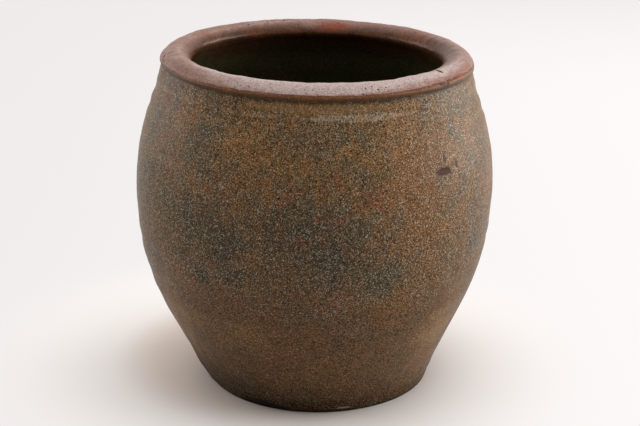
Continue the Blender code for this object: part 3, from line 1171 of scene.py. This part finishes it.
def bare_clay(sheet):
    """Unglazed stoneware of the lip: mauve, with pale patches and painted sheen, orange flashes, smoky
    patches and painted shade, small pits.
    """
    cloud = sheet.noise(0.028, 4, 0.6, shift=4.4)
    mottle = sheet.noise(0.0060, 4, 0.65, shift=8.8)
    tone, tint, spark = sheet.grains(0.0009, 9.6)
    colour = sheet.mix(sheet.ramp(cloud, 0.35, 0.65), *MAUVES)
    # The pale patches are partly painted sheen, and the smoky ones partly painted shade
    for field, share, low, high, tinge in (
        ("bloom_and_sheen", 0.5, 0.25, 1.25, PALE_BLOOM_AND_SHEEN),
        ("flash", 0.6, 0.40, 1.50, ORANGE_FLASH),
        ("smoke_and_shade", 0.5, 0.35, 1.25, SOOT_AND_SHADE),
    ):
        level = sheet.sum(sheet.attribute(field), (mottle, share))
        colour = sheet.mix(sheet.ramp(level, low, high), colour, tinge)
    colour = sheet.shaded(colour, tone, 0.0, 1.0, 0.78, 1.20)
    colour = sheet.mix(sheet.ramp(tint, 0.86, 0.98, 0.0, 0.35), colour, RED_GRAIN)
    raised = sheet.sum((tone, 0.00005), (mottle, 0.00020))
    finish = Finish(sheet, colour, sheet.sum((mottle, 0.2), 0.36), raised)
    finish = finish.stained(sheet.dots(BLACK_PITS), BLACK_PIT, 0.7, -0.0003)
    finish = finish.stained(sheet.dots(RED_PITS), RED_PIT, 0.6, -0.0002)
    return finish.stained(sheet.ramp(spark, 0.04, 0.015, 0.0, 0.7), CLAY_PIT)


def foot_clay(sheet):
    """Bare clay of the underside, with a coarse grain."""
    cloud = sheet.noise(0.024, 4, 0.6, shift=1.2)
    grain = sheet.noise(0.0015, 3, 0.6, shift=5.5)
    colour = sheet.mix(sheet.ramp(cloud, 0.35, 0.65), *FOOT_CLAYS)
    colour = sheet.shaded(colour, grain, 0.3, 0.7, 0.75, 1.2)
    return Finish(sheet, colour, sheet.sum((grain, 0.1), 0.75), sheet.sum((grain, 0.0002)))


def ridge_wear_and_highlight(sheet, finish):
    """The collar's lower ridge, where the glaze broke pale and a highlight is painted, and painted light
    above it.
    """
    # Pale thinned glaze on the ridge's front, partly a painted highlight where the light catches it
    patch = sheet.spot(-76.0, outer(0.2955), 0.2952, (0.046, 0.0026, 0.022), ragged=0.5)
    broken = sheet.ramp(sheet.noise(0.0016, 3, 0.7, shift=24.0), 0.40, 0.66, 0.0, 0.55)
    finish = finish.stained(sheet.times(patch, broken), PALE_RIDGE_WEAR_AND_HIGHLIGHT)
    # A pale line along the ridge: thinned glaze, partly a painted highlight
    from_line = sheet.sum(sheet.height, (sheet.noise(0.012, 2, shift=21.0), 0.003), -0.2968)
    on_line = sheet.ramp(sheet.math("ABSOLUTE", from_line), 0.0020, 0.0004)
    stretches = sheet.ramp(sheet.noise(0.030, 2, shift=23.0), 0.46, 0.64, 0.0, 0.25)
    finish = finish.stained(sheet.times(on_line, stretches), RIDGE_LINE_WEAR_AND_HIGHLIGHT)
    # Painted light: the front just under the lip is lightened against the lip's shade
    above = sheet.spot(-90.0, outer(0.3010), 0.3010, (0.075, 0.0034, 0.030), ragged=0.4, strength=0.28)
    return finish.stained(above, PAINTED_LIGHT_YELLOW)


def pooled_and_shaded(sheet, finish):
    """The notch under the lip, where the glaze gathered dark, with painted shade under the lip."""
    level = sheet.sum(sheet.height, (sheet.noise(0.004, 3, shift=22.0), 0.002))
    # Partly glaze pooled in the notch, partly painted shade under the lip's overhang
    share = sheet.times(sheet.ramp(level, 0.3040, 0.3070), sheet.ramp(level, 0.3160, 0.3080), 0.66)
    return finish.stained(share, POOLED_GLAZE_AND_SHADE, 0.4)


def dress(sheet, finish, specular, sheen):
    """Puts a finish on the sheet's shader."""
    inputs = sheet.shader.inputs
    raised = sheet.add("Bump")
    raised.inputs["Distance"].default_value = 1.0
    sheet.set(raised.inputs["Height"], finish.raised)
    sheet.set(inputs["Base Color"], finish.colour)
    sheet.set(inputs["Roughness"], finish.roughness)
    sheet.set(inputs["Normal"], raised.outputs[0])
    inputs["Specular IOR Level"].default_value = specular
    inputs["Sheen Weight"].default_value = sheen
    inputs["Sheen Roughness"].default_value = SHEEN_ROUGHNESS
    return sheet.material


def glazed_inside(sheet, outside):
    """An outside finish that gives way to the inside glaze on the inner face."""
    return outside.under(sheet.ramp(sheet.attribute("inside"), 0.45, 0.55), inner_glaze(sheet))


def wall_material(name):
    sheet = ClaySheet(name)
    outside = ash_glaze(sheet)
    if name.startswith("upper"):
        outside = outside.stained(sheet.dots(WALL_PITS), WALL_PIT, 0.7, -0.0005).spotted(SCAR_SPOTS)
    if name.startswith(("upper", "collar")):
        outside = pooled_and_shaded(sheet, ridge_wear_and_highlight(sheet, outside))
    if name.startswith("lower"):
        outside = outside.spotted(STREAK_SPOTS)
    return dress(sheet, glazed_inside(sheet, outside), GLAZE_SPECULAR, GLAZE_SHEEN)


def lip_material(name):
    """Bare clay between the stained outside glaze, which ends in a broken dark line, and the inside glaze."""
    sheet = ClaySheet(name)
    jag = sheet.noise(0.0020, 3, 0.7, shift=14.2)
    low_edge = sheet.sum(sheet.attribute("bare"), (jag, 0.056), -0.028)
    glazed = pooled_and_shaded(sheet, ash_glaze(sheet).stained(0.45, LIP_GLAZE_STAIN, 0.5))
    finish = glazed.under(sheet.ramp(low_edge, -0.004, 0.004), bare_clay(sheet))
    line = sheet.times(sheet.ramp(low_edge, -0.050, -0.004), sheet.ramp(low_edge, 0.010, 0.0))
    broken = sheet.ramp(sheet.noise(0.0030, 2, 0.6, shift=17.7), 0.36, 0.60, 0.20, 0.80)
    finish = finish.stained(sheet.times(line, broken), GLAZE_EDGE)
    cloud = sheet.noise(0.012, 4, 0.6, shift=15.3)
    high_edge = sheet.sum(sheet.attribute("dark"), (cloud, 0.12), -0.06)
    finish = finish.under(sheet.ramp(high_edge, -0.13, 0.04), inner_glaze(sheet))
    finish = finish.stained(sheet.times(sheet.dots(EDGE_SPOTS), 0.9), EDGE_SPOT, 0.4).spotted(LIP_SPOTS)
    return dress(sheet, finish, LIP_SPECULAR, LIP_SHEEN)


def foot_material(name):
    """The wall's glaze down to the foot's edge, gathered and chipped there, a painted shadow at the ground,
    bare clay under.
    """
    sheet = ClaySheet(name)
    # Painted shadow: a dark line low on the foot, where it meets the floor
    contact_shadow = sheet.sum(sheet.height, (sheet.noise(0.006, 3, shift=16.8), 0.003))
    contact_shadow = sheet.ramp(contact_shadow, 0.0056, 0.0024, 0.0, 0.85)
    outside = ash_glaze(sheet).spotted(POOL_SPOTS).stained(contact_shadow, CONTACT_SHADOW, 0.5).spotted(CHIP_SPOTS)
    edge = sheet.sum(sheet.height, (sheet.noise(0.005, 3, shift=16.1), 0.0016))
    finish = foot_clay(sheet).under(sheet.ramp(edge, 0.0005, 0.0012), glazed_inside(sheet, outside))
    return dress(sheet, finish, FOOT_SPECULAR, GLAZE_SHEEN)


def cove_material(name):
    sheet = ClaySheet(name)
    return dress(sheet, inner_glaze(sheet), GLAZE_SPECULAR, GLAZE_SHEEN)


def lowered(stations):
    return [(across, rise - SLIP_GAP) for across, rise in stations]


def slab(under, joint, floor):
    """The slab: its skin from the underside's disc up, its hidden top face and the crock's inner floor."""
    piece = ClayPiece(under + joint + floor, closed=False)
    last = len(piece.rings) - 1
    piece.disc(0, on_circle, False)
    piece.disc(last, floor_surface, True)
    return piece


def build_crock():
    """The six pieces, each from its stretches of the skin and the hidden faces of its joints."""
    skin = Skin()
    key = [(0.2, 0.0), (0.5, -KEY_DEPTH), (0.8, 0.0)]
    turns = np.linspace(0, np.pi, SADDLE_ROWS)
    saddle = [(0.5 - (0.5 - TONGUE_SHARE) * math.cos(t), TONGUE_HEIGHT * math.sin(t)) for t in turns]
    flat = [(0.1, 0.0), (0.9, 0.0)]
    lift = ((outer(LIFT_HEIGHT), LIFT_HEIGHT), (inner(LIFT_HEIGHT), LIFT_HEIGHT))
    bevel = ((outer(RIDGE_HEIGHT), RIDGE_HEIGHT), (inner(COLLAR_INNER_HEIGHT), COLLAR_INNER_HEIGHT))
    seat = ((NECK_RADIUS, SEAT_HEIGHT), (NECK_RADIUS - COLLAR_TOP, SEAT_HEIGHT))
    slab_top = ((outer(SLAB_TOP), SLAB_TOP), (TOE_RADIUS, SLAB_TOP))
    coil_base = ((TOE_RADIUS, SLAB_TOP), (inner(SLAB_TOP) - SLIP_GAP, SLAB_TOP))
    wall_base = ((inner(SLAB_TOP), SLAB_TOP), (outer(SLAB_TOP), SLAB_TOP))

    foot_slab = slab(skin.stretch("foot"), joint_face(slab_top, lowered(flat)), skin.stretch("floor"))
    cove_coil = ClayPiece(skin.stretch("cove") + joint_face(coil_base, [(0.1, 0.0), (1.0, 0.0)]))
    lower_lift = ClayPiece(
        skin.stretch("lower_outside")
        + joint_face(lift, lowered(key))
        + skin.stretch("lower_inside")
        + joint_face(wall_base, [(0.0, 0.0), (0.9, 0.0)])
    )
    upper_lift = ClayPiece(
        skin.stretch("upper_outside")
        + joint_face(bevel, lowered(flat))
        + skin.stretch("upper_inside")
        + joint_face(lift, key[::-1])
    )
    collar_band = ClayPiece(
        skin.stretch("collar_outside")
        + joint_face(seat, lowered(saddle))
        + skin.stretch("collar_inside")
        + joint_face(bevel, flat[::-1])
    )
    rolled_lip = ClayPiece(skin.stretch("lip") + joint_face(seat, saddle[::-1]))
    pieces = (
        (foot_slab, "foot_slab", "base_slab", "foot_clay", foot_material, 1),
        (cove_coil, "cove_coil", "corner_coil", "inner_glaze", cove_material, 4),
        (lower_lift, "lower_lift", "lower_wall", "ash_glaze", wall_material, 2),
        (upper_lift, "upper_lift", "upper_wall", "ash_glaze", wall_material, 2),
        (collar_band, "collar_band", "neck_collar", "ash_glaze", wall_material, 5),
        (rolled_lip, "rolled_lip", "rim_coil", "bare_lip", lip_material, 4),
    )
    for piece, name, node, slot, material, sectors in pieces:
        shown = piece.built(name, material(name + "_finish"), sectors)
        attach(shown, "root")
        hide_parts(node)


def area_lamp(name, place, width, height, power):
    light = bpy.data.lights.new(name, "AREA")
    light.shape = "RECTANGLE"
    light.size = width
    light.size_y = height
    light.energy = power
    holder = bpy.data.objects.new(name, light)
    bpy.context.scene.collection.objects.link(holder)
    holder.location = place
    towards = Vector(LAMP_TARGET) - Vector(place)
    holder.rotation_euler = towards.to_track_quat("-Z", "Y").to_euler()
    holder.visible_camera = False


def seen_directly(sheet):
    """1 for what the camera, a gloss or glass sees, and 0 for the light that falls on the crock."""
    path = sheet.add("LightPath").outputs
    direct = sheet.math("MAXIMUM", path["Is Camera Ray"], path["Is Glossy Ray"])
    return sheet.math("MAXIMUM", direct, path["Is Transmission Ray"])


def build_world():
    """A pale studio: bright behind and beside the crock, dim on the photographer's side, lit from above."""
    world = bpy.data.worlds.new("studio")
    sheet = Sheet(world)
    direction = sheet.add("TexCoord").outputs["Generated"]
    behind = sheet.add("VectorMath", direction, BRIGHT_SIDE, operation="DOT_PRODUCT").outputs["Value"]
    rise = sheet.add("SeparateXYZ", direction).outputs["Z"]
    level = sheet.ramp(behind, -BRIGHT_EDGE, BRIGHT_EDGE, FRONT_LEVEL, BACK_LEVEL)
    level = sheet.lerp(sheet.ramp(rise, *SKY_EDGE), level, SKY_LEVEL)
    level = sheet.lerp(seen_directly(sheet), level, BACKDROP_LEVEL)
    background = sheet.nodes["Background"]
    sheet.set(background.inputs["Color"], STUDIO_WHITE)
    sheet.set(background.inputs["Strength"], level)
    bpy.context.scene.world = world


def floor_material():
    """Pale paper with a painted warm shadow near the crock. Further off it is seen as bright as the backdrop
    it runs into.
    """
    material = bpy.data.materials.new("pale_floor")
    sheet = Sheet(material)
    place = sheet.add("TexCoord").outputs["Object"]
    across, away, _ = sheet.add("SeparateXYZ", place).outputs
    reach = sheet.add("VectorMath", place, SHADE_MIDDLE, operation="DISTANCE").outputs["Value"]
    paper = sheet.nodes["Principled BSDF"]
    paper.inputs["Roughness"].default_value = PAPER_ROUGHNESS
    paper.inputs["Specular IOR Level"].default_value = PAPER_SPECULAR
    # Painted shadow: darker, warmer paper near the crock
    painted_shadow = sheet.ramp(reach, *PAINTED_SHADOW_REACH)
    sheet.set(paper.inputs["Base Color"], sheet.mix(painted_shadow, PAINTED_SHADOW_PAPER, PALE_PAPER))
    brightness = sheet.ramp(across, *BACKDROP_ASIDE, sheet.ramp(away, *BACKDROP_AWAY))
    backdrop = sheet.add("Emission", BACKDROP_COLOUR, brightness)
    share = sheet.times(sheet.ramp(reach, *FLOOR_FADE), seen_directly(sheet))
    mixed = sheet.add("MixShader", share, paper.outputs[0], backdrop.outputs[0])
    sheet.set(sheet.nodes["Material Output"].inputs["Surface"], mixed.outputs[0])
    return material


def build_studio():
    bpy.ops.mesh.primitive_plane_add(size=2 * FLOOR_HALF, location=(0, 0, 0))
    floor = bpy.context.object
    floor.name = "floor"
    floor.data.materials.append(floor_material())

    camera = bpy.data.objects.new("camera", bpy.data.cameras.new("camera"))
    bpy.context.scene.collection.objects.link(camera)
    camera.location = CAMERA_PLACE
    camera.rotation_euler = (math.pi / 2 - CAMERA_PITCH, 0, CAMERA_YAW)
    camera.data.sensor_width = SENSOR_WIDTH
    camera.data.lens = FOCAL_PIXELS / PHOTO_WIDTH * SENSOR_WIDTH
    bpy.context.scene.camera = camera

    build_world()
    for lamp in LAMPS:
        area_lamp(*lamp)


build_crock()
build_studio()
bpy.context.scene.view_settings.view_transform = "Standard"
